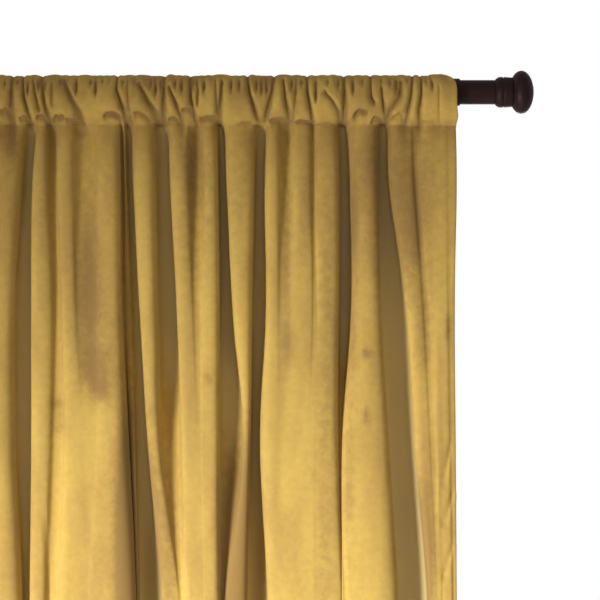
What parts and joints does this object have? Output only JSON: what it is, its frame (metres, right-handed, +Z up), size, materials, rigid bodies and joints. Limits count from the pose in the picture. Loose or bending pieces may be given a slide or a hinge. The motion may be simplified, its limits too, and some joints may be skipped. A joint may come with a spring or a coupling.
{
  "type": "velvet rod pocket curtain on a curtain rod",
  "caption": "Velvet curtain panel gathered by its rod pocket on an adjustable metal rod with flattened knob finials.",
  "frame": {"origin": "on the rod's axis, at the middle of the gathered panel", "axes": "+Z up, +Y towards the wall behind the curtain, +X along the rod to the right seen from the room"},
  "size_m": [0.8138, 0.0472, 2.1384],
  "materials": {
    "velvet": "mustard gold cotton velvet, short pile on the room side and a plain woven back",
    "bronze_paint": "near black bronze powder paint, satin"
  },
  "bodies": {
    "root": {"curtain_panel": "velvet", "rod_outer_tube": "bronze_paint", "rod_inner_tube": "bronze_paint", "finial_collar_right": "bronze_paint", "finial_collar_left": "bronze_paint", "finial_knob_right": "bronze_paint", "finial_knob_left": "bronze_paint"}
  },
  "joints": []
}
